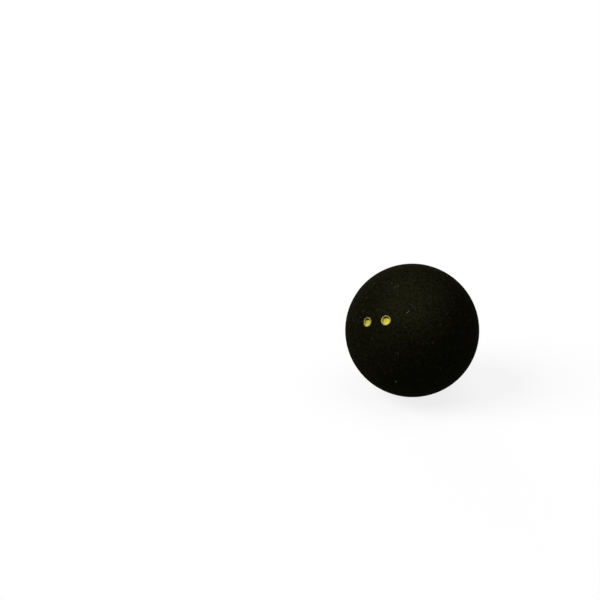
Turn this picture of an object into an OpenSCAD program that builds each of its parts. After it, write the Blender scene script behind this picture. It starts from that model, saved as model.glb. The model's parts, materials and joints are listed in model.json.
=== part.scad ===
// Squash ball: a hollow rubber ball made of two moulded half shells that are cemented edge to edge,
// with two small recesses moulded beside the pole of one half and lined with yellow paint.
// Millimetres. The origin is the centre of the ball, +Z is up as the ball lies, and the painted
// dots look towards -Y, turned up a little.
//
// Every sub-part is drawn about the pole, which is the axis through the middle of both half
// shells: it is +Z in their own frame, with the dots to either side of it along X. as_it_lies()
// then rolls the finished ball into the attitude in which it rests.

/* [Ball] */
// Outside diameter of the finished ball
ball_d = 40; // [38:0.5:46]
// Thickness of the rubber wall
wall_t = 5; // [3.5:0.1:6.5]

/* [Cemented joint] */
// Thickness of the cement film between the two half shells
cement_t = 0.15; // [0.1:0.05:0.4]
// Leg of the bevel round the inner edge of each half shell
bevel_leg = 0.5; // [0.3:0.05:0.9]
// How far the bead of cement swells out of the bevels into the air space
bead_crown = 0.3; // [0.1:0.05:0.35]

/* [Painted dots] */
// Distance between the middles of the two dots, measured straight across
dot_pitch = 6.3; // [5:0.1:9]
// Diameter of the moulded recess at its mouth
recess_d = 2.5; // [1.8:0.1:3.2]
// Depth of the moulded recess on its own axis
recess_depth = 0.7; // [0.4:0.05:0.9]
// Radius of the corner between the recess's wall and its floor
recess_corner_r = 0.2; // [0.1:0.05:0.3]
// Draft of the recess's wall, in degrees
recess_draft = 8; // [2:1:20]
// Thickness of the paint film
paint_t = 0.1; // [0.05:0.01:0.15]
// Width of the ring of paint on the ball's surface round each recess
ring_w = 0.15; // [0.1:0.05:0.6]

/* [Resting attitude] */
// Height of the pole above the horizon, in degrees
rest_tilt = 26.7; // [0:0.1:90]
// Turn of the two dots about the pole, in degrees
rest_roll = 20.2; // [-90:0.1:90]

/* [Hidden] */
$fn = 120;

rubber_color = [0.10, 0.09, 0.06];
cement_color = [0.20, 0.18, 0.14];
paint_color = [0.84, 0.77, 0.22];

ball_r = ball_d / 2;
cavity_r = ball_r - wall_t;
// Every cutting shape runs past the face that it cuts by this share of the wall.
overrun_share = 0.2;
overrun = overrun_share * wall_t;

// The joint face of each half shell stands off the middle plane by half the cement's thickness.
joint_z = cement_t / 2;
// The bevel meets the cavity's wall at this height and radius, and the bead fills it to there.
bead_z = joint_z + bevel_leg;
bead_r = sqrt(cavity_r ^ 2 - bead_z ^ 2);
// Radius of the bead's crown, an arc over the chord between the two bevels
crown_arc_r = (bead_z ^ 2 + bead_crown ^ 2) / (2 * bead_crown);

// Angle between the pole and the axis of each dot
dot_lean = asin(dot_pitch / 2 / ball_r);
recess_r = recess_d / 2;
ring_r = recess_r + ring_w;
// The paint is as thick on the recess's leaning wall as it is on its floor.
lining_r = recess_r - paint_t / cos(recess_draft);
// Heights of the recess's floor and of the paint on it above the centre of the ball
recess_floor_z = ball_r - recess_depth;
lining_floor_z = recess_floor_z + paint_t;

// Rolls the ball from its own frame, with the pole up, into the attitude in which it lies.
module as_it_lies() {
    rotate([90 - rest_tilt, 0, 0])
        rotate([0, 0, rest_roll])
            children();
}

// Carries a shape from the pole to one of the dots: side is -1 for the left one, 1 for the right.
module at_dot(side) {
    rotate([0, side * dot_lean, 0]) children();
}

// The half of a disc to the right of the turning axis: turned, it is a solid ball.
module half_disc(r) {
    intersection() {
        circle(r = r);
        translate([0, -r]) square([r, 2 * r]);
    }
}

// The section of one half shell above its joint face, with the bevel along its inner edge.
module half_shell_section() {
    difference() {
        half_disc(ball_r);
        circle(r = cavity_r);
        translate([-overrun, joint_z - ball_r - overrun])
            square([ball_r + 2 * overrun, ball_r + overrun]);
        polygon([
            [bead_r - overrun, joint_z - overrun],
            [bead_r + bevel_leg + overrun, joint_z - overrun],
            [bead_r - overrun, bead_z + overrun],
        ]);
    }
}

// The section of a blind recess with a flat floor, a rounded corner and a wall that opens with
// the draft. mouth_r is its radius where its wall meets the height of the ball's radius.
module recess_section(mouth_r, floor_z) {
    floor_r = mouth_r - (ball_r - floor_z) * tan(recess_draft);
    // The corner's arc touches both the floor and the leaning wall.
    arc_x = floor_r + recess_corner_r * tan(recess_draft) - recess_corner_r / cos(recess_draft);
    arc_z = floor_z + recess_corner_r;
    touch_x = arc_x + recess_corner_r * cos(recess_draft);
    touch_z = arc_z - recess_corner_r * sin(recess_draft);
    top_z = ball_r + overrun;
    polygon([
        [0, floor_z],
        [arc_x, floor_z],
        [touch_x, touch_z],
        [mouth_r + overrun * tan(recess_draft), top_z],
        [0, top_z],
    ]);
    translate([arc_x, arc_z]) circle(r = recess_corner_r);
}

// The section of the cement: the film between the joint faces, the wedge that fills both bevels
// and the crown that swells inwards from them.
module cement_section() {
    polygon([
        [bead_r, -bead_z],
        [bead_r + bevel_leg, -joint_z],
        [ball_r + overrun, -joint_z],
        [ball_r + overrun, joint_z],
        [bead_r + bevel_leg, joint_z],
        [bead_r, bead_z],
    ]);
    intersection() {
        translate([bead_r - bead_crown + crown_arc_r, 0]) circle(r = crown_arc_r);
        translate([bead_r - bead_crown, -bead_z]) square([bead_crown + bevel_leg / 2, 2 * bead_z]);
    }
}

// The section of the paint: a lining that follows the recess, and the ring round its mouth.
module paint_section() {
    difference() {
        intersection() {
            half_disc(ball_r + paint_t);
            union() {
                recess_section(recess_r, recess_floor_z);
                difference() {
                    translate([0, cavity_r]) square([ring_r, wall_t + overrun]);
                    circle(r = ball_r);
                }
            }
        }
        recess_section(lining_r, lining_floor_z);
    }
}

// Half of the ball, pole up, as it comes from the mould.
module half_shell() {
    rotate_extrude() half_shell_section();
}

// The film of paint of one dot.
module dot_lining(side) {
    as_it_lies() at_dot(side) rotate_extrude() paint_section();
}

// The half on the side of the pole, with the two recesses.
module front_half_shell() {
    color(rubber_color)
        as_it_lies()
            difference() {
                half_shell();
                for (side = [-1, 1])
                    at_dot(side) rotate_extrude() recess_section(recess_r, recess_floor_z);
            }
}

// The plain half, the same moulding without the recesses.
module rear_half_shell() {
    color(rubber_color)
        as_it_lies() mirror([0, 0, 1]) half_shell();
}

// The cement is buffed flush with the rubber, so its outer edge is part of the ball's own surface.
module seam_cement() {
    color(cement_color)
        as_it_lies()
            intersection() {
                rotate_extrude() cement_section();
                sphere(r = ball_r);
            }
}

module left_dot() {
    color(paint_color) dot_lining(-1);
}

module right_dot() {
    color(paint_color) dot_lining(1);
}

front_half_shell();
rear_half_shell();
seam_cement();
left_dot();
right_dot();
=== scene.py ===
# %% [markdown]
# # A squash ball, dressed for its picture
# The ball is a hollow sphere of near-black rubber, made of two moulded half shells that are
# cemented edge to edge and then buffed matt all over. Two small recesses were moulded beside the
# middle of one half, and each is lined with yellow paint.
#
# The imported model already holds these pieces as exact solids. This lesson keeps every place and
# size that the solids give, and puts in their stead meshes fine enough to carry what the eye
# looks for: the buffed grain, the rolled lips of the paint, and a joint that barely shows.

# %% Load the frame
import json
import math

import bmesh
import bpy
from mathutils import Matrix, Vector, noise


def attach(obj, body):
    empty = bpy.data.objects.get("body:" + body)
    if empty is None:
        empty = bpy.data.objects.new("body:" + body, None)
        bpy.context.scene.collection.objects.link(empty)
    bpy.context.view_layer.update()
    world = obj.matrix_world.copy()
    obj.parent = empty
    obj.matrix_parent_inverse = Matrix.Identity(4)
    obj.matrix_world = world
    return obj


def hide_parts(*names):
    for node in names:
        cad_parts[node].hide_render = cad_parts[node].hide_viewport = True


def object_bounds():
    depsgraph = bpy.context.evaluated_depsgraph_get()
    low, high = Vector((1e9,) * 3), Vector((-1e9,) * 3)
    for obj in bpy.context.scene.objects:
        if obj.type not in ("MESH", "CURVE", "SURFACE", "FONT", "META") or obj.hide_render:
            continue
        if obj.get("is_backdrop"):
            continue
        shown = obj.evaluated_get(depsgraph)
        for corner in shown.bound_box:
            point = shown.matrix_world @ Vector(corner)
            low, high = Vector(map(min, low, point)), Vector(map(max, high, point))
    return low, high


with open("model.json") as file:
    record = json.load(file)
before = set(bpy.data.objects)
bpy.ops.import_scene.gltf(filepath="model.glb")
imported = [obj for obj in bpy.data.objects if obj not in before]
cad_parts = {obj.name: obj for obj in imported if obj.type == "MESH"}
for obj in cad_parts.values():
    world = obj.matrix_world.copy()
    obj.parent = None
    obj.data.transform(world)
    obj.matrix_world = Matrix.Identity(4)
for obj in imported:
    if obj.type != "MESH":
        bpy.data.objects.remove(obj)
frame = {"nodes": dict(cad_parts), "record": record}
cad_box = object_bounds()
MM = 0.001  # everything in Blender is in metres, and a ball is easier to think of in millimetres
print("CAD box in mm:", [[round(c / MM, 2) for c in corner] for corner in cad_box])

# %% [markdown]
# ## Read the axes off the flat faces
# A size that is typed twice can disagree with itself, so places and sizes come from the packed
# model. Most of a ball has no direction, but two kinds of face do. The joint face of the plain
# half is flat, and its normal is the pole, the axis through the middle of both halves. The floor
# of a painted recess is flat too, and its normal is that dot's own axis.

# %% Find the pole and the two dots
mounts = {mount["name"]: mount for mount in frame["record"]["mounts"]}
ball_r = mounts["outer_sphere"]["dims"]["r_mm"] * MM


def faces_of(node):
    """The faces of a CAD node, in the row frame."""
    return frame["nodes"][node].data.polygons


edge_on_cosine = 0.02  # of the angle between a face's normal and the way to the face


def pole_of(node):
    """The normal of a half shell's joint face, the only part of it that stands edge on."""
    normal = Vector()
    for face in faces_of(node):
        if abs(face.normal.dot(face.center.normalized())) < edge_on_cosine:
            normal += face.normal * face.area
    return normal.normalized()


def floor_of(node):
    """The axis of a dot, and the height of its painted floor above the centre of the ball."""
    outward = [face for face in faces_of(node) if face.normal.dot(face.center) > 0]
    lowest = min(outward, key=lambda face: face.center.length)
    return lowest.normal.copy(), lowest.center.dot(lowest.normal)


pole = pole_of("rear_half_shell")
dots = {node: floor_of(node) for node in ("left_dot", "right_dot")}
across = (dots["right_dot"][0] - dots["left_dot"][0]).normalized()
# Turns the ball's own frame, with the pole up and the dots along X, into the way it lies.
as_it_lies = Matrix((across, pole.cross(across), pole)).transposed()
dot_lean = pole.angle(dots["right_dot"][0])
print(f"the pole points {math.degrees(math.asin(pole.z)):.2f} degrees up")
print(f"each dot leans {math.degrees(dot_lean):.2f} degrees off it")

# %% [markdown]
# ## Read the sizes off the corner points
# A turned part is known by two numbers for each of its points: how far it is along the axis, and
# how far off it. Sorting a node's points by those two gives the wall's thickness, the width of
# the joint, and the section of a recess.

# %% Measure the shells and the joint
def off_and_along(node, axis):
    """Each corner point of a node as (how far off an axis, how far along it), in the row frame."""
    pairs = []
    for vertex in frame["nodes"][node].data.vertices:
        along = vertex.co.dot(axis)
        pairs.append(Vector((math.sqrt(max(vertex.co.length_squared - along * along, 0)), along)))
    return pairs


hair = 0.002 * MM  # two lengths closer than this count as the same
shell_section = [Vector((off, -along)) for off, along in off_and_along("rear_half_shell", pole)]
cavity_r = min(point.length for point in shell_section)
joint_z = min(point.y for point in shell_section)
bevel_r = min(point.x for point in shell_section if point.y < joint_z + hair)
bead_z = min(point.y for point in shell_section if point.length < cavity_r + hair)
bead_r = math.sqrt(cavity_r ** 2 - bead_z ** 2)
print(f"ball {2 * ball_r / MM:.2f} mm across, wall {(ball_r - cavity_r) / MM:.2f} mm")
print(f"cement {2 * joint_z / MM:.2f} mm thick, with a bead {2 * bead_z / MM:.2f} mm high")
print(f"joint face {bevel_r / MM:.2f} to {ball_r / MM:.2f} mm from the pole")

# %% Measure a recess and its paint
dot_axis, paint_floor = dots["right_dot"]
paint_section = off_and_along("right_dot", dot_axis)
ring_r = max(point.x for point in paint_section)
paint_t = max(point.length for point in paint_section) - ball_r
floor_r = max(point.x for point in paint_section if abs(point.y - paint_floor) < hair)
recess_floor = paint_floor - paint_t
front_section = off_and_along("front_half_shell", dot_axis)
near_dot = [
    point for point in front_section
    if 0 < point.x < ring_r and point.y > recess_floor - hair
]
mouth_r = min(point.x for point in near_dot if point.length > ball_r - hair)
below_mouth = [point for point in near_dot if point.length < ball_r - hair]
wall_foot = max(below_mouth, key=lambda point: point.y)  # where the wall turns into the corner
print(f"painted ring {2 * ring_r / MM:.2f} mm across, film {paint_t / MM:.2f} mm thick")
print(f"recess {2 * mouth_r / MM:.2f} mm across and {(ball_r - recess_floor) / MM:.2f} mm deep")

# %% [markdown]
# ## Shader maths that reads like maths
# A material in Blender is a graph of nodes, and a graph that is wired line by line is hard to
# read. Two small classes make it short. A Wire is one output socket, and adding or multiplying
# wires adds the Math node that does it. A Graph owns the tree, and its method add makes any other
# node from its type, its settings and what goes into its sockets.

# %% Wires
class Wire:
    """An output socket that can be used in a sum, a difference or a product."""

    def __init__(self, graph, socket):
        self.graph = graph
        self.socket = socket

    def __add__(self, other):
        return self.graph.maths("ADD", self, other)

    def __sub__(self, other):
        return self.graph.maths("SUBTRACT", self, other)

    def __rsub__(self, other):
        return self.graph.maths("SUBTRACT", other, self)

    def __mul__(self, other):
        return self.graph.maths("MULTIPLY", self, other)

    __radd__ = __add__
    __rmul__ = __mul__


# %% Graphs
class Graph:
    """A node tree that starts empty."""

    def __init__(self, owner):
        owner.use_nodes = True
        self.name = owner.name
        self.tree = owner.node_tree
        self.tree.nodes.clear()

    def add(self, kind, settings=None, sockets=None, out=0):
        """Makes a node, sets it up, fills its sockets and gives one of its outputs as a wire. A
        socket goes by its name, or by its number among those that the settings leave in use."""
        node = self.tree.nodes.new(kind)
        for name, value in (settings or {}).items():
            setattr(node, name, value)
        in_use = [socket for socket in node.inputs if socket.enabled]
        by_name = {socket.name: socket for socket in reversed(in_use)}
        for name, value in (sockets or {}).items():
            socket = in_use[name] if isinstance(name, int) else by_name[name]
            if isinstance(value, Wire):
                self.tree.links.new(value.socket, socket)
            else:
                socket.default_value = value
        outputs = [socket for socket in node.outputs if socket.enabled]
        if not outputs:
            return None
        return Wire(self, outputs[out] if isinstance(out, int) else node.outputs[out])

    def other_output(self, wire, name):
        """Another output of the node that a wire comes from."""
        return Wire(self, wire.socket.node.outputs[name])

    def maths(self, operation, *values):
        """A Math node on numbers or wires."""
        return self.add("ShaderNodeMath", {"operation": operation}, dict(enumerate(values)))

    def between(self, value, low, high):
        """0 where the value is under low, 1 where it is over high, and an easy slope between."""
        return self.add(
            "ShaderNodeMapRange",
            {"interpolation_type": "SMOOTHSTEP"},
            {"Value": value, "From Min": low, "From Max": high},
        )

    def within(self, value, low, high):
        """1 where the value is under low, 0 where it is over high, and an easy slope between."""
        return 1 - self.between(value, low, high)

    def blend(self, share, first, second):
        """The first colour where the share is 0 and the second where it is 1."""
        return self.add(
            "ShaderNodeMix", {"data_type": "RGBA"},
            {"Factor": share, "A": first, "B": second},
        )

    def finish(self, shader):
        """Wires a shader to the surface of the material, and says how large the graph is."""
        self.add("ShaderNodeOutputMaterial", {}, {"Surface": shader})
        print(f"{self.name}: {len(self.tree.nodes)} nodes")


# %% [markdown]
# ## Patterns that are sized in millimetres
# A pattern could be laid on through an unwrapped map, but a ball can't be unwrapped without
# stretching it. So every pattern here is read at the point being shaded, counted in millimetres
# from the centre of the ball: a grain is as wide as it really is, all over, and one that lies
# across the joint runs on from one half to the other.

# %% Patterns on the ball
grain_core_share = 0.3  # a loose grain is whole to this share of its width from its middle
grain_edge_share = 0.55  # and ends at this one


def sway(mottle, amount):
    """Moves a pattern that goes from 0 to 1 so that it goes from -amount / 2 to amount / 2."""
    return (mottle - 0.5) * amount


class BallGraph(Graph):
    """A graph whose patterns are placed and sized in millimetres on the ball."""

    def place(self, per_mm=1.0):
        """The point being shaded, from the centre of the ball, in millimetres times per_mm."""
        point = self.add("ShaderNodeTexCoord", out="Object")
        return self.add(
            "ShaderNodeVectorMath", {"operation": "SCALE"},
            {"Vector": point, "Scale": per_mm / MM},
        )

    def mottle(self, per_mm, detail=2.0, rough=0.5):
        """Soft random blotches, 0 to 1, per_mm of them to the millimetre."""
        return self.add(
            "ShaderNodeTexNoise", {},
            {"Vector": self.place(per_mm), "Scale": 1.0, "Detail": detail, "Roughness": rough},
        )

    def cells(self, per_mm):
        """Scattered points, per_mm of them to the millimetre: how far the nearest one is, in
        units of their spacing, and a random number for it from 0 to 1."""
        settings = {"feature": "F1"}
        sockets = {"Vector": self.place(per_mm), "Scale": 1.0}
        near = self.add("ShaderNodeTexVoronoi", settings, sockets, out="Distance")
        colour = self.other_output(near, "Color")
        return near, self.add("ShaderNodeSeparateColor", {}, {"Color": colour})

    def from_spot(self, direction):
        """How many millimetres away a spot on the ball is, by its direction from the centre."""
        spot = direction.normalized() * ball_r / MM
        return self.add(
            "ShaderNodeVectorMath", {"operation": "DISTANCE"},
            {0: self.place(), 1: spot}, out="Value",
        )

    def grains(self, places, uneven):
        """1 on each of some grains and 0 elsewhere. A grain is placed by its direction from the
        centre of the ball and its width in millimetres, and uneven moves its edge in and out."""
        mask = 0
        for direction, width in places:
            far = self.from_spot(direction) + uneven
            mask = mask + self.within(far, width * grain_core_share, width * grain_edge_share)
        return mask

    def skin(self, height, depth_mm):
        """A normal tilted as if the height, from 0 to 1, stood depth_mm out of the surface."""
        return self.add(
            "ShaderNodeBump", {},
            {"Height": height, "Strength": 1.0, "Distance": depth_mm * MM},
        )


def new_finish(name):
    """A new material and its empty graph."""
    material = bpy.data.materials.new(name)
    return material, BallGraph(material)


# %% [markdown]
# ## The buffed rubber
# The ball leaves its mould smooth and is then tumbled against an abrasive until it is matt, so
# the rubber is near black with a warm, slightly green cast, and has no gloss to speak of. Seen
# close, it is finely grained, with torn pits, paler crumbs that the abrasive rubbed up, and here
# and there a grain of dust. A broad soft highlight is painted into its colour as a paler patch on
# two sides: one high on the side of the dots, and one on the far side.
#
# One noise gives the grain, a finer one the tooth of the abrasive, and scattered cells the pits
# and the crumbs. The same masks drive the colour, the roughness and the bump, so that a crumb is
# pale, dull and raised at once, and a pit dark and deep. The specular level is next to nothing:
# a white room mirrored even by a hundredth would be brighter than the rubber itself. So the soft
# highlight that a sheen would give is painted into the colour instead.

# %% Grain, wear and painted highlights of the rubber
rubber_bare = (0.0026, 0.0025, 0.0010, 1)
rubber_worn = (0.0099, 0.0096, 0.0039, 1)
# Paler copies of the bare and worn rubber, for the painted highlights
highlit_bare = (0.0056, 0.0053, 0.0021, 1)
highlit_worn = (0.0190, 0.0178, 0.0076, 1)
grain_per_mm = 1.65
tooth_per_mm = 5.5
bloom_per_mm = 0.16  # of the patches where the skin as a whole is a little more or less worn
wear_range = (0.33, 0.67)  # the heights of the grain between which bare skin turns into worn
# The middles of the two painted highlights, and the distances between which each fades out
painted_highlights = [Vector((0.39, -0.555, 0.735)), Vector((-0.35, 0.88, 0.30))]
highlight_range = (3.0, 15.5)  # a handled side fades between these distances, in millimetres

rubber, graph = new_finish("buffed_rubber")
grain = graph.mottle(grain_per_mm, rough=0.6)
tooth = graph.mottle(tooth_per_mm, rough=0.6)
bloom = graph.mottle(bloom_per_mm)
# Painted highlights: the rubber is drawn paler round their middles
highlit = sum(graph.within(graph.from_spot(side), *highlight_range) for side in painted_highlights)
worn = graph.between(grain * 0.75 + tooth * 0.25 + sway(bloom, 0.12), *wear_range)
bare_colour = graph.blend(highlit, rubber_bare, highlit_bare)
worn_colour = graph.blend(highlit, rubber_worn, highlit_worn)
skin_colour = graph.blend(worn, bare_colour, worn_colour)
print(f"grain {1 / grain_per_mm:.2f} mm wide, tooth {1 / tooth_per_mm:.2f} mm wide")

# %% Large crumbs and grains of dust
# Each by its direction from the centre of the ball, and its width in millimetres
large_crumbs = [
    (Vector((0.059, -0.475, 0.878)), 0.95),
    (Vector((0.034, -0.504, 0.863)), 0.70),
    (Vector((-0.066, -0.459, 0.886)), 0.70),
    (Vector((0.415, -0.907, 0.073)), 0.60),
    (Vector((0.816, -0.240, 0.525)), 0.60),
    (Vector((-0.38, 0.80, 0.46)), 0.80),
    (Vector((-0.93, 0.30, 0.21)), 0.70),
]
dust_grains = [
    (Vector((0.386, -0.680, 0.624)), 0.44),
    (Vector((0.397, -0.662, 0.638)), 0.38),
    (Vector((0.349, -0.837, -0.421)), 0.72),
    (Vector((-0.52, 0.63, 0.58)), 0.40),
    (Vector((0.80, 0.58, 0.15)), 0.45),
]
print(f"{len(large_crumbs)} large crumbs, {len(dust_grains)} grains of dust")

# %% Pits, crumbs and dust
pits_per_mm = 1.4
pit_range = (0.10, 0.34)  # from the floor of a pit to its edge, in units of the pits' spacing
pit_luck_range = (0.55, 0.60)  # a cell holds a pit if its random number is above these
crumbs_per_mm = 1.15
crumb_range = (0.14, 0.30)
crumb_luck_range = (0.62, 1.15)
cluster_per_mm = 0.35  # of the patches where the crumbs lie close together
crumb_clustering = 1.2
crumb_stretch = 1.9  # a crumb's distances are stretched by this less its luck, so luck widens it

pit_far, pit_luck = graph.cells(pits_per_mm)
pit = graph.within(pit_far, *pit_range) * graph.between(pit_luck, *pit_luck_range)
crumb_far, crumb_luck = graph.cells(crumbs_per_mm)
crumb_luck = crumb_luck + sway(graph.mottle(cluster_per_mm, detail=1.0), crumb_clustering)
crumb_far = crumb_far * (crumb_stretch - crumb_luck) + sway(tooth, 0.45)
crumb = graph.within(crumb_far, *crumb_range) * graph.between(crumb_luck, *crumb_luck_range)
crumb = graph.maths("MAXIMUM", crumb, graph.grains(large_crumbs, sway(tooth, 0.6)))
dust = graph.grains(dust_grains, sway(tooth, 0.25))
print(f"cells for pits {1 / pits_per_mm:.2f} mm and for crumbs {1 / crumbs_per_mm:.2f} mm wide")

# %% Rubber
crumb_colour = (0.029, 0.0275, 0.017, 1)
dust_colour = (0.11, 0.107, 0.087, 1)
rubber_relief_mm = 0.12

rubber_colour = graph.blend(crumb, skin_colour, crumb_colour)
rubber_colour = graph.blend(pit * 0.6, rubber_colour, rubber_bare)
rubber_colour = graph.blend(dust, rubber_colour, dust_colour)
relief = grain * 0.5 + tooth * 0.4 + crumb * 0.3 + dust * 0.5 - pit * 0.6
graph.finish(graph.add("ShaderNodeBsdfPrincipled", {}, {
    "Base Color": rubber_colour,
    "Roughness": 0.86 + worn * 0.1,
    "Specular IOR Level": 0.004,
    "Normal": graph.skin(relief, rubber_relief_mm),
}))

# %% [markdown]
# ## The cement
# The cement is the same kind of rubber, dissolved. Where the joint comes to the surface it was
# buffed with the shells, so it is only a shade browner and paler than they are, and shows as a
# hairline to someone who looks for it.

# %% Cement
cement_dark = (0.0100, 0.0078, 0.0034, 1)
cement_pale = (0.0200, 0.0165, 0.0085, 1)
smear_per_mm = 1.1
cement_tooth_per_mm = 7.0
cement_relief_mm = 0.05

cement, graph = new_finish("rubber_cement")
smear = graph.mottle(smear_per_mm, detail=3.0)
graph.finish(graph.add("ShaderNodeBsdfPrincipled", {}, {
    "Base Color": graph.blend(smear, cement_dark, cement_pale),
    "Roughness": 0.72 + smear * 0.2,
    "Specular IOR Level": 0.006,
    "Normal": graph.skin(graph.mottle(cement_tooth_per_mm), cement_relief_mm),
}))

# %% [markdown]
# ## The paint of the dots
# A drop of yellow paint lines each recess and is drawn up over its lip. The shadow of each
# recess's upper lip is painted into the colour, as a dark crescent along the upper side of its
# wall and floor, and the wall all round is painted a little darker, as shade in the recess. The
# low side of the floor is painted paler, as lit from above. On the lip the paint is dry, pale
# and rubbed, and its upper part is painted darker, as shade.
#
# How deep a point lies under the ball's own surface tells the lip from the floor, and is the
# ball's radius less the point's distance from the centre. Where the painted shade lies, and how
# vivid each dot's paint is drawn, can't be worked out in a material that both dots share, for
# the left one is drawn duller. The mesh of each dot carries these as attributes, which are
# written further down.

# %% Painted shade and light in the paint, and where it is rubbed
dot_attributes = ("lowness", "from_unshaded", "vividness")
blotch_per_mm = 2.6
speck_per_mm = 9.0
floor_depth = (ball_r - paint_floor) / MM
lip_range = (-0.05, 0.02)  # the lip turns into the wall between these depths, in millimetres
floor_range = (floor_depth * 0.4, floor_depth * 0.8)  # and the wall into the floor
# The painted shade of the upper lip sets in between these distances, in radii of the unshaded part
shade_edge_range = (1.0, 1.2)  # the pool thins out between these distances, in radii of the pool
# The low side of each dot is painted paler, as lit from above, between these lownesses
lit_bottom_range = (0.60, 0.95)  # how low in its dot the paint turns pale, with 1 at the very bottom

paint, graph = new_finish("dot_paint")
low, from_unshaded, vividness = [
    graph.add("ShaderNodeAttribute", {"attribute_name": name}, out="Fac")
    for name in dot_attributes
]
from_centre = graph.add(
    "ShaderNodeVectorMath", {"operation": "LENGTH"}, {"Vector": graph.place()}, out="Value"
)
depth = ball_r / MM - from_centre
blotch = graph.mottle(blotch_per_mm, detail=3.0)
speck = graph.mottle(speck_per_mm, rough=0.7)
# Painted shade: outside the unshaded part, the upper side of the recess is drawn dark as the lip's
# shadow
unshaded = graph.within(from_unshaded + sway(blotch, 0.15), *shade_edge_range)
floor_share = graph.between(depth + sway(blotch, 0.12), *floor_range)
# Painted shade: the wall is drawn a little darker than the floor, and a duller dot darker all over
on_floor = unshaded * vividness * (0.85 + floor_share * 0.15)
on_lip = graph.within(depth + sway(blotch, 0.06), *lip_range)
# Painted light: the low side of the floor is drawn paler, as lit from above
lit_bottom = graph.between(low + sway(blotch, 0.5), *lit_bottom_range) * 0.6
print(f"the painted floor lies {floor_depth:.2f} mm deep")

# %% Grit in the paint
grit_per_mm = 2.0
grit_range = (0.14, 0.40)
grit_luck_range = (0.40, 0.80)

grit_far, grit_luck = graph.cells(grit_per_mm)
grit_far = grit_far + sway(speck, 0.2)
grit = graph.within(grit_far, *grit_range) * graph.between(grit_luck, *grit_luck_range)
print(f"cells for grit {1 / grit_per_mm:.2f} mm wide")

# %% Paint
paint_bright = (0.81, 0.71, 0.072, 1)
# Painted shade, for the shadow of the upper lip and the darker wall inside the recess
paint_shaded = (0.032, 0.023, 0.0005, 1)
# Pale paint, for the finest specks and for the painted light on the low side
paint_pale_and_lit = (0.78, 0.71, 0.20, 1)
paint_grit = (0.40, 0.32, 0.025, 1)
paint_rubbed = (0.47, 0.425, 0.150, 1)
# The rubbed lip's upper part is painted darker, as shade
paint_rubbed_shaded = (0.36, 0.315, 0.105, 1)
pale_range = (0.48, 0.80)  # the heights of the finest specks between which they turn pale
# The lip is painted darker towards its top, as shade, up to this lowness
rim_shade_range = (0.0, 0.45)  # how low on the lip its paint turns from thin to full
paint_relief_mm = 0.04

# Paler on the finest specks, painted paler on the low side as lit from above, and paler on a
# duller dot
pale = (graph.between(speck, *pale_range) * 0.3 + lit_bottom + (1 - vividness)) * on_floor
inside = graph.blend(on_floor, paint_shaded, paint_bright)
inside = graph.blend(pale, inside, paint_pale_and_lit)
inside = graph.blend(grit * 0.7, inside, paint_grit)
# The lip's paint, painted darker at its top as shade
rim = graph.blend(graph.between(low, *rim_shade_range), paint_rubbed_shaded, paint_rubbed)
graph.finish(graph.add("ShaderNodeBsdfPrincipled", {}, {
    "Base Color": graph.blend(on_lip * (0.6 + blotch * 0.5), inside, rim),
    "Roughness": 0.55 + speck * 0.25,
    "Specular IOR Level": 0.04,
    "Normal": graph.skin(speck * 0.6 + blotch * 0.4 - grit * 0.5, paint_relief_mm),
}))

# %% [markdown]
# ## Rings and bands
# The joint, the recesses and the paint are all turned shapes. Each is made ring by ring: a ring
# of points round an axis, a band of squares between it and the next, and at last a fan of
# triangles to a point on the axis. Working ring by ring lets a turned shape start from the edge
# of a hole in another mesh, which a lathe modifier can't do.

# %% Turned shapes
def ring_of_points(bm, angles, off, along, turn):
    """A ring round +Z, carried by the rotation turn."""
    points = [Vector((off * math.cos(a), off * math.sin(a), along)) for a in angles]
    return [bm.verts.new(turn @ point) for point in points]


def band(bm, ring, following):
    """Squares between two rings that have equally many points."""
    for k in range(len(ring)):
        bm.faces.new((ring[k - 1], ring[k], following[k], following[k - 1]))


def turn_inwards(bm, ring, angles, section, turn=Matrix.Identity(3)):
    """Goes on from a ring along a section of (off, along) points and closes on the axis, where
    the last point of the section lies."""
    for off, along in section[:-1]:
        following = ring_of_points(bm, angles, off, along, turn)
        band(bm, ring, following)
        ring = following
    tip = bm.verts.new(turn @ Vector((0, 0, section[-1][1])))
    for k in range(len(ring)):
        bm.faces.new((ring[k - 1], ring[k], tip))


def angle_round(point):
    """The angle of a point round +Z."""
    return math.atan2(point.y, point.x)


# %% From a mesh to a piece
def make_piece(bm, name, material, node):
    """Turns a mesh into a piece that lies as the ball does and stands for a CAD node."""
    bmesh.ops.recalc_face_normals(bm, faces=bm.faces)
    bm.transform(as_it_lies.to_4x4())
    mesh = bpy.data.meshes.new(name)
    bm.to_mesh(mesh)
    bm.free()
    mesh.materials.append(material)
    mesh.shade_smooth()
    piece = bpy.data.objects.new(name, mesh)
    bpy.context.scene.collection.objects.link(piece)
    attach(piece, "root")
    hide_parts(node)
    print(f"{name}: {len(mesh.polygons)} faces")


# %% [markdown]
# ## A dome of even squares
# A ball made of meridians crowds its squares at the poles, just where the dots are. A cube whose
# faces are cut into squares and blown up to a ball has squares of nearly one size all over, and
# so the buffed relief is as fine in one place as in another. Half of such a ball is the outside
# of a half shell. Taking the tangent first evens out the squares that the blowing up would
# otherwise stretch in the middle of each face.

# %% Dome
squares_to_a_side = 140
print(f"a square of the dome is {ball_r * math.pi / 2 / squares_to_a_side / MM:.2f} mm wide")


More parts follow.
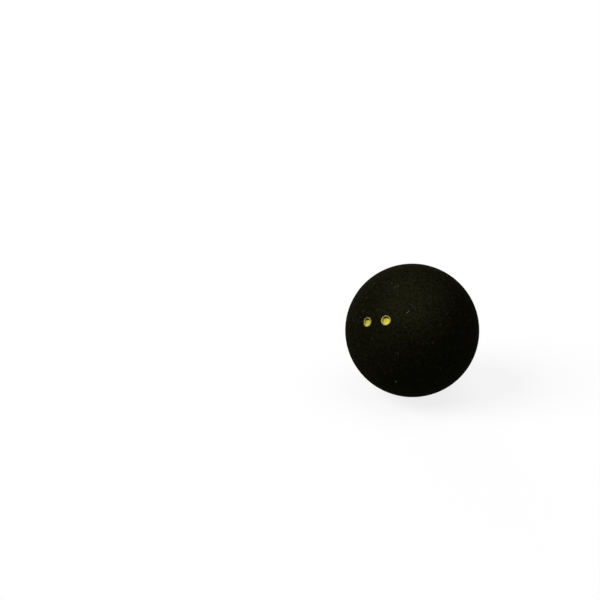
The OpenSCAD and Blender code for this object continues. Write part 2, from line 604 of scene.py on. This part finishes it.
def dome():
    """The outside of a half shell: half a ball, pole up."""
    bm = bmesh.new()
    bmesh.ops.create_cube(bm, size=2)
    cuts = squares_to_a_side - 1
    bmesh.ops.subdivide_edges(bm, edges=bm.edges[:], cuts=cuts, use_grid_fill=True)
    lower = [face for face in bm.faces if face.calc_center_median().z < 0]
    bmesh.ops.delete(bm, geom=lower, context="FACES")
    for vert in bm.verts:
        vert.co = Vector([math.tan(c * math.pi / 4) for c in vert.co]).normalized() * ball_r
    return bm


# %% [markdown]
# ## The buffed relief
# Buffing takes off a little more here and less there. The wide swells are a few hundredths of a
# millimetre high and several millimetres across, and only show in how the light rolls over the
# ball. The torn pits are smaller and sharper. Both fade out at the joint and at the dots, where
# the mould, and not the abrasive, made the edge.

# %% Relief
swell_height = 0.025 * MM
swell_width = 6.0 * MM
tear_height = 0.012 * MM
tear_width = 0.9 * MM
tear_layers = 3  # each half as wide and half as high as the one before


def buffed(point):
    """How far the buffed surface stands out at a point."""
    swell = noise.noise(point / swell_width) * swell_height
    return swell + noise.fractal(point / tear_width, 1.0, 2.0, tear_layers) * tear_height


probes = 100
probe_angles = [math.tau * k / probes for k in range(probes)]
middle = [Vector((math.cos(a), math.sin(a), 0)) * ball_r for a in probe_angles]
relief_found = [buffed(point) / MM for point in middle]
print(f"relief round the middle: {min(relief_found):.3f} to {max(relief_found):.3f} mm")

# %% Buffing
edge_ease = 0.03 * MM  # radius of the rounded edges where a half shell meets the cement
joint_margin = 0.6 * MM  # the relief fades out over this distance from the joint
dot_margin = 0.8 * MM  # and over this one from the rings of the dots


def fade_in(distance, width):
    """0 at distance 0, 1 from width on, and an easy slope between."""
    t = min(max(distance / width, 0), 1)
    return t * t * (3 - 2 * t)


def buff(bm, batch, dot_turns=()):
    """Moves the points of a dome in or out, less and less towards its edge and its dots. Each
    batch of the abrasive leaves another relief."""
    for vert in bm.verts:
        quiet = fade_in(vert.co.z - joint_z - edge_ease, joint_margin)
        for turn in dot_turns:
            off_axis = (turn @ Vector((0, 0, 1))).angle(vert.co) * ball_r
            quiet *= fade_in(off_axis - ring_r, dot_margin)
        vert.co += vert.co.normalized() * buffed(vert.co + batch) * quiet


# %% [markdown]
# ## Holes for the dots
# To set a round recess into a mesh of squares, the squares round the dot's axis are taken out,
# and the ragged edge of the hole is pulled into a true circle. The edge's points keep their order
# and are spaced evenly, the squares beside them are relaxed, and the recess goes on from the
# circle ring by ring.

# %% The edge of a hole
def edge_loop(bm, near):
    """The points of the open edge that passes the test near, in order round it."""
    edges = [edge for edge in bm.edges if edge.is_boundary and near(edge.verts[0].co)]
    neighbours = {}
    for edge in edges:
        for vert in edge.verts:
            neighbours.setdefault(vert, []).append(edge.other_vert(vert))
    loop = list(edges[0].verts)
    while len(loop) < len(neighbours):
        one, other = neighbours[loop[-1]]
        loop.append(other if one is loop[-2] else one)
    return loop


# %% The section of a recess
hole_margin = 0.6 * MM
hole_r = ring_r + hole_margin


def on_ball(off):
    """How far along an axis the ball's surface lies, so far off the axis."""
    return math.sqrt(ball_r ** 2 - off ** 2)


def recess_section():
    """The section of a recess from the rim of its hole to its axis."""
    rim_offs = (ring_r + hole_margin / 2, ring_r, (ring_r + mouth_r) / 2, mouth_r)
    rim = [(off, on_ball(off)) for off in rim_offs]
    floor = [(off, recess_floor) for off in (floor_r, floor_r / 2, 0)]
    return rim + [tuple(wall_foot)] + floor


print("recess in mm:", [tuple(round(c / MM, 2) for c in point) for point in recess_section()])

# %% A round hole
def make_round(loop, turn):
    """Spaces the points of a hole's edge evenly on a true circle, and gives their angles."""
    back = turn.transposed()
    start, following = [angle_round(back @ vert.co) for vert in loop[:2]]
    step = math.copysign(math.tau / len(loop), math.remainder(following - start, math.tau))
    angles = [start + step * k for k in range(len(loop))]
    hole_z = on_ball(hole_r)
    for vert, angle in zip(loop, angles):
        vert.co = turn @ Vector((hole_r * math.cos(angle), hole_r * math.sin(angle), hole_z))
    return angles


# %% Squares beside the hole
relaxed_width = 1.5 * MM
relaxing_passes = 12
relaxing_share = 0.5  # how far each pass moves a point to the middle of its neighbours


def relax(bm, verts):
    """Evens out the squares between some points of the dome, which stay on the ball."""
    for _ in range(relaxing_passes):
        bmesh.ops.smooth_vert(
            bm, verts=verts, factor=relaxing_share,
            use_axis_x=True, use_axis_y=True, use_axis_z=True,
        )
        for vert in verts:
            vert.co = vert.co.normalized() * ball_r


# %% Opening a recess
def open_recess(bm, turn):
    """Cuts a hole round a dot's axis, sets the recess into it and counts the hole's points."""
    axis = turn @ Vector((0, 0, 1))

    def off_axis(point):
        return axis.angle(point) * ball_r

    inner = [face for face in bm.faces if off_axis(face.calc_center_median()) < hole_r]
    bmesh.ops.delete(bm, geom=inner, context="FACES")
    loop = edge_loop(bm, lambda point: off_axis(point) < 2 * hole_r)
    angles = make_round(loop, turn)
    rim = set(loop)
    near = [vert for vert in bm.verts if off_axis(vert.co) < hole_r + relaxed_width]
    relax(bm, [vert for vert in near if vert not in rim])
    turn_inwards(bm, loop, angles, recess_section(), turn)
    return len(loop)


# %% [markdown]
# ## The two half shells
# Each half is closed into a solid, as the real one is: over the eased outer edge, across the flat
# joint face, up the small bevel and round the inside of the wall. The inside is never seen, so
# a few wide rings are enough for it. The front half gets its recesses before it is closed.

# %% Half shells
cavity_rings = 14
bulge_share = 0.3  # of its radius, by which the middle of a rounded edge stays off each face


def close_shell(bm):
    """Goes on from the dome's edge, over the joint face and round the cavity."""
    edge = [vert for vert in bm.verts if vert.is_boundary]
    loop = sorted(edge, key=lambda vert: angle_round(vert.co))
    angles = [angle_round(vert.co) for vert in loop]
    edge_z = joint_z + edge_ease
    edge_r = on_ball(edge_z)
    for vert, angle in zip(loop, angles):
        vert.co = Vector((edge_r * math.cos(angle), edge_r * math.sin(angle), edge_z))
    bulge = edge_ease * bulge_share
    eased = [(ball_r - bulge, joint_z + bulge), (ball_r - edge_ease, joint_z)]
    face = [(bevel_r, joint_z), (bead_r, bead_z)]
    low = math.asin(bead_z / cavity_r)
    rises = [low + (math.pi / 2 - low) * k / cavity_rings for k in range(1, cavity_rings + 1)]
    inside = [(cavity_r * math.cos(rise), cavity_r * math.sin(rise)) for rise in rises]
    turn_inwards(bm, loop, angles, eased + face + inside)


# %% Making the half shells
# The rotations that carry the pole to the left dot and to the right one
dot_turns = [Matrix.Rotation(side * dot_lean, 3, "Y") for side in (-1, 1)]

front = dome()
for turn in dot_turns:
    print("points round a recess:", open_recess(front, turn))
buff(front, Vector((0, 0, 0)), dot_turns)
close_shell(front)
make_piece(front, "front_half_rubber", rubber, "front_half_shell")

rear = dome()
rear_batch = Vector((80, 50, 30)) * MM
buff(rear, rear_batch)
close_shell(rear)
rear.transform(Matrix.Rotation(math.pi, 4, "X"))
make_piece(rear, "rear_half_rubber", rubber, "rear_half_shell")

# %% [markdown]
# ## The cement in the joint
# The cement is one ring: a film between the joint faces that ends in a bead inside the ball. Only
# its outer edge shows, as a hairline where the eased edges of the two halves meet. Buffing wears
# the softer cement a hundredth of a millimetre lower than the rubber, a little more here and
# less there, and that is all that gives the joint away.

# %% The bead of cement
bead_crown = bead_r - min(off for off, along in off_and_along("seam_cement", pole))
# The bead's crown is an arc over the chord between the two bevels.
crown_arc_r = (bead_z ** 2 + bead_crown ** 2) / (2 * bead_crown)
crown_half_angle = math.asin(bead_z / crown_arc_r)
crown_steps = 8
print(f"the bead swells {bead_crown / MM:.2f} mm into the cavity")
print(f"its crown is an arc of {crown_arc_r / MM:.2f} mm radius")


def crown():
    """The arc of the bead, from its upper end to its lower one."""
    centre = bead_r - bead_crown + crown_arc_r
    angles = [crown_half_angle * (1 - 2 * k / crown_steps) for k in range(crown_steps + 1)]
    return [(centre - crown_arc_r * math.cos(a), crown_arc_r * math.sin(a)) for a in angles]


# %% Cement ring
seam_points = 900
cement_wear = 0.012 * MM
uneven_wear_share = 0.8
wear_patches = 24  # about as many to each radius of the ball


def cement_section(angle):
    """The section of the cement at one angle round the pole, as a closed outline."""
    round_joint = Vector((math.cos(angle), math.sin(angle), 0)) * wear_patches
    worn = ball_r - cement_wear * (1 + uneven_wear_share * noise.noise(round_joint))
    shoulder = worn - edge_ease / 2
    edge = [(shoulder, -joint_z), (worn, -joint_z / 2), (worn, joint_z / 2), (shoulder, joint_z)]
    return edge + [(bevel_r, joint_z)] + crown() + [(bevel_r, -joint_z)]


def turned_ring(section_at, count):
    """A ring round +Z whose section may change a little on its way round."""
    bm = bmesh.new()
    outlines = []
    for k in range(count):
        angle = math.tau * k / count
        outward = Vector((math.cos(angle), math.sin(angle), 0))
        points = [outward * off + Vector((0, 0, along)) for off, along in section_at(angle)]
        outlines.append([bm.verts.new(point) for point in points])
    for k in range(count):
        band(bm, outlines[k - 1], outlines[k])
    return bm


seam = turned_ring(cement_section, seam_points)
make_piece(seam, "joint_cement", cement, "seam_cement")

# %% [markdown]
# ## The paint in the dots
# The film of paint is a solid of its own: it lines the recess, rolls over the lip and ends in a
# thin uneven edge on the rubber. Its section is drawn with few points, and cutting the corners a
# few times turns those into the soft outline that surface tension gives to paint. Noise then
# makes the edge ragged and the film lumpy, in another way for each dot.

# %% The section of the film
lining_r = mouth_r - paint_t
sunk = 0.03 * MM  # the back of the film is pressed this far into the rubber, so that no gap shows
outer_slope = 0.06 * MM  # the film reaches its full thickness this far in from the ring's edge
inner_shelf = 0.02 * MM  # and keeps it until this far from the lining
floor_shares = (0.75, 0.6, 0.45, 0.3, 0.15, 0)  # of the floor's radius


def cut_corners(points, times):
    """Rounds a line of points by replacing every corner with two points beside it."""
    for _ in range(times):
        pairs = list(zip(points, points[1:]))
        inner = [first.lerp(second, share) for first, second in pairs for share in (0.25, 0.75)]
        points = [points[0]] + inner + [points[-1]]
    return points


def film_over():
    """The free surface of the paint, from its edge on the rubber to the axis."""
    over_ball = [  # distances off the axis, and shares of the film's thickness
        (ring_r, 0.0),
        (ring_r, 0.8),
        (ring_r - outer_slope, 1.0),
        (lining_r + inner_shelf, 1.0),
    ]
    lip = [Vector((off, on_ball(off) + share * paint_t)) for off, share in over_ball]
    wall = [
        Vector((lining_r, ball_r)),
        Vector((wall_foot.x - paint_t, wall_foot.y)),
        Vector((floor_r + paint_t / 4, paint_floor)),
        Vector((floor_r - paint_t, paint_floor)),
    ]
    floor = [Vector((floor_r * share, paint_floor)) for share in floor_shares]
    return cut_corners(lip + wall, 3) + floor


def film_under():
    """The back of the paint, from its edge on the rubber to the axis."""
    lip = [(off, on_ball(off) - sunk) for off in (ring_r - sunk, mouth_r + sunk)]
    floor = [(off, recess_floor - sunk) for off in (floor_r, 0)]
    return lip + [(wall_foot.x + sunk, wall_foot.y)] + floor


print(f"film: {len(film_over())} points above and {len(film_under())} below")

# %% Lumps and a ragged edge
noise.seed_set(24)  # noise_vector starts from a random place, which a seed keeps the same
lump_width = 0.28 * MM
lump_height = 0.012 * MM
ragged_share = 0.06
ragged_tongues = 2.2  # about as many to each radius of the dot


def lump(bm, seed, reach, lean):
    """Makes the film's edge ragged and its free surface lumpy. The film still stands upright. Its
    ring is widened to reach times its own size, and lean moves it off the middle of the recess."""
    for vert in bm.verts:
        off = math.hypot(vert.co.x, vert.co.y)
        round_dot = Vector((vert.co.x, vert.co.y, 0)).normalized() * ragged_tongues
        outer = fade_in(off - mouth_r, ring_r - mouth_r)
        ragged = 1 + outer * (reach - 1 + ragged_share * noise.noise(round_dot + seed))
        wobble = noise.noise_vector(vert.co / lump_width + seed) * lump_height
        widened = Vector((vert.co.x * ragged, vert.co.y * ragged, vert.co.z))
        vert.co = widened + wobble + lean * outer


# %% The painted shade in a recess
def mark_recess_shade(bm, turn, light_falls_towards, shift, radius, share):
    """Writes down for each point how low it is in its dot, from 0 at the top to 1 at the bottom,
    how far it is from the middle of the part that the painted shade of the upper lip leaves out,
    with 1 at that part's edge, and how vivid the dot's paint is drawn, from 0 to 1. That middle
    lies shift off the recess's own, on the side that the light falls towards."""
    lowness, from_unshaded, vividness = [bm.verts.layers.float.new(name) for name in dot_attributes]
    down = ((as_it_lies @ turn).transposed() @ light_falls_towards).xy.normalized()
    for vert in bm.verts:
        vert[lowness] = (vert.co.xy.dot(down) / ring_r + 1) / 2
        vert[from_unshaded] = (vert.co.xy - down * shift).length / radius
        vert[vividness] = share


# %% Painted dots
paint_points_round = 132


def painted_dot(name, node, turn, edge, recess_shade):
    """One dot's film of paint, made upright and then carried to its place."""
    bm = bmesh.new()
    angles = [math.tau * k / paint_points_round for k in range(paint_points_round)]
    over = film_over()
    outer_ring = ring_of_points(bm, angles, over[0].x, over[0].y, Matrix.Identity(3))
    turn_inwards(bm, outer_ring, angles, over[1:])
    lump(bm, **edge)
    turn_inwards(bm, outer_ring, angles, film_under())
    mark_recess_shade(bm, turn, **recess_shade)
    bm.transform(turn.to_4x4())
    make_piece(bm, name, paint, node)


# The left dot's paint is drawn duller, and its ring lies a little to the right of its recess.
left_edge = {
    "seed": Vector((6.6, 0.5, 0.4)),
    "reach": 0.99,
    "lean": Vector((0.082, 0.023, 0)) * MM,
}
# Where the painted shade of the lip lies in the left recess, and how vivid its paint is drawn
left_recess_shade = {
    "light_falls_towards": Vector((-0.22, -0.20, -1)),
    "shift": 0.86 * MM,
    "radius": 1.33 * MM,
    "share": 0.72,
}
painted_dot("left_dot_paint", "left_dot", dot_turns[0], left_edge, left_recess_shade)

# The right dot's paint is drawn at full strength, and its ring is a little wider.
right_edge = {
    "seed": Vector((2.6, 0.6, 4.5)),
    "reach": 1.03,
    "lean": Vector((0.014, 0.015, 0)) * MM,
}
# Where the painted shade of the lip lies in the right recess, and how vivid its paint is drawn
right_recess_shade = {
    "light_falls_towards": Vector((0, 0, -1)),
    "shift": 0.84 * MM,
    "radius": 1.42 * MM,
    "share": 1.0,
}
painted_dot("right_dot_paint", "right_dot", dot_turns[1], right_edge, right_recess_shade)

# %% [markdown]
# ## Soft light
# The rubber is brightest high on the side of the dots and fades evenly from there to a dark
# foot. Three sun lamps with wide angles do that, together with the highlight painted into the
# rubber's colour. The key lamp stands high in front, to the left of someone who faces the dots,
# and a weaker one above lights the top. The third stands low and far to the left, behind the
# ball as the camera sees it. In the main picture it only grazes the upper left edge, but it
# gives the far side its form in others, with the second painted highlight there. Sun lamps are
# used because they light the floor evenly as far as it goes.

# %% Lamps
surround_light = 0.05
lamps = [  # name, the way to the lamp, its strength, and its width in degrees
    ("key_light", Vector((-0.42, -0.62, 0.66)), 0.70, 40),
    ("top_light", Vector((0.20, 0.09, 0.975)), 0.32, 60),
    ("back_light", Vector((-0.84, 0.52, 0.10)), 0.36, 40),
]


def soft_sun(name, toward, strength, width):
    """A broad lamp that shines from a direction on to the ball. At strength 1 a white surface that
    faces it is just white."""
    lamp = bpy.data.lights.new(name, "SUN")
    lamp.energy = strength * math.pi
    lamp.angle = math.radians(width)
    holder = bpy.data.objects.new(name, lamp)
    holder.rotation_mode = "QUATERNION"
    holder.rotation_quaternion = toward.to_track_quat("Z", "Y")
    bpy.context.scene.collection.objects.link(holder)


for lamp in lamps:
    soft_sun(*lamp)
lamp_light = sum(strength * toward.normalized().z for _, toward, strength, _ in lamps)
floor_light = surround_light + lamp_light
print(f"a white floor is lit to {floor_light:.2f}")

# %% [markdown]
# ## The white surround and the floor
# The ball lies on a pale floor in a plain white surround. A surround and a floor that are lit
# until they turn white would throw that light back on to the ball and wash out the black. So the
# rubber is lit by a dim surround and a plain grey floor, and only the camera sees them white:
# Light Path tells the two kinds of ray apart. A share of plain diffuse is left in the floor that
# the camera sees, to keep the shadow, and the rest glows just enough to make the floor white
# where nothing shades it.

# %% Surround
white = (1, 1, 1, 1)


def in_view(graph):
    """1 for what the camera sees, also by reflection or through glass, and 0 for lighting."""
    camera_ray = graph.add("ShaderNodeLightPath", out="Is Camera Ray")
    glossy_ray = graph.other_output(camera_ray, "Is Glossy Ray")
    through_ray = graph.other_output(camera_ray, "Is Transmission Ray")
    return graph.maths("MINIMUM", camera_ray + glossy_ray + through_ray, 1.0)


world = bpy.data.worlds.new("studio")
bpy.context.scene.world = world
graph = Graph(world)
strength = surround_light + in_view(graph) * (1 - surround_light)
background = graph.add("ShaderNodeBackground", {}, {"Color": white, "Strength": strength})
graph.add("ShaderNodeOutputWorld", {}, {"Surface": background})
print(f"the surround lights the ball at {surround_light}")

# %% Floor
floor_grey = (0.36, 0.36, 0.36, 1)
floor_half = 6.0  # metres from the middle of the floor to each side
shadow_share = 0.20
glow_strength = (1 - shadow_share * floor_light) / (1 - shadow_share)

floor_finish, graph = new_finish("studio_floor")
seen = in_view(graph)
lit = graph.add("ShaderNodeBsdfDiffuse", {}, {"Color": white})
glow = graph.add("ShaderNodeEmission", {}, {"Color": white, "Strength": glow_strength})
for_camera = graph.add("ShaderNodeMixShader", {}, {0: shadow_share, 1: glow, 2: lit})
for_ball = graph.add("ShaderNodeBsdfDiffuse", {}, {"Color": floor_grey})
graph.finish(graph.add("ShaderNodeMixShader", {}, {0: seen, 1: for_ball, 2: for_camera}))

sides = [(-1, -1), (1, -1), (1, 1), (-1, 1)]
corners = [(x * floor_half, y * floor_half, -ball_r) for x, y in sides]
floor_mesh = bpy.data.meshes.new("studio_floor")
floor_mesh.from_pydata(corners, [], [(0, 1, 2, 3)])
floor_mesh.materials.append(floor_finish)
studio_floor = bpy.data.objects.new("studio_floor", floor_mesh)
bpy.context.scene.collection.objects.link(studio_floor)
studio_floor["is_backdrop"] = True

# %% [markdown]
# ## The camera
# A round ball looks much the same from everywhere, so the camera is placed by what isn't round:
# where the two dots fall in the picture, and how high the ball stands in it. The lens is a short
# telephoto. The camera looks down at the floor, past the ball, which lies right of the middle and
# a little low, so the line from the lens to the ball is worked out from the ball's place in the
# picture, and the camera stands back along it.

# %% Camera
picture_side = 600  # pixels
ball_in_picture = Vector((411.9, 330.3))  # pixels from the left and from the top
lens_mm = 70.0
sensor_mm = 36.0
heading = math.radians(41.25)  # how far the view is turned to the left of +Y
pitch = math.radians(22.95)  # how far it is tilted down
ball_distance = 351.5 * MM
nearest_seen = 10 * MM
farthest_seen = 20.0  # metres, past the corners of the floor

lens_px = lens_mm / sensor_mm * picture_side
ahead = Vector((
    -math.sin(heading) * math.cos(pitch),
    math.cos(heading) * math.cos(pitch),
    -math.sin(pitch),
))
right = Vector((math.cos(heading), math.sin(heading), 0))
up = right.cross(ahead)
offset = (ball_in_picture - Vector((picture_side, picture_side)) / 2) / lens_px
to_ball = (ahead + right * offset.x - up * offset.y).normalized()

camera_data = bpy.data.cameras.new("camera")
camera_data.lens = lens_mm
camera_data.sensor_width = sensor_mm
camera_data.clip_start = nearest_seen
camera_data.clip_end = farthest_seen
camera = bpy.data.objects.new("camera", camera_data)
place = Matrix((right, up, -ahead)).transposed().to_4x4()
place.translation = -to_ball * ball_distance
camera.matrix_world = place
bpy.context.scene.collection.objects.link(camera)
bpy.context.scene.camera = camera
bpy.context.scene.view_settings.view_transform = "Standard"
print(f"the camera stands {ball_distance / MM:.1f} mm from the ball")
print(f"it sees the ball from {math.degrees(math.asin(-to_ball.z)):.1f} degrees above")

# %% [markdown]
# ## Check the size and finish
# The dressed ball must fill the same box as the solids, so both boxes are printed side by side
# at the end.

# %% Boxes
boxes = {"cad": cad_box, "visual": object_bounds()}
for name, box in boxes.items():
    print(name, "box in mm:", [[round(c / MM, 3) for c in corner] for corner in box])
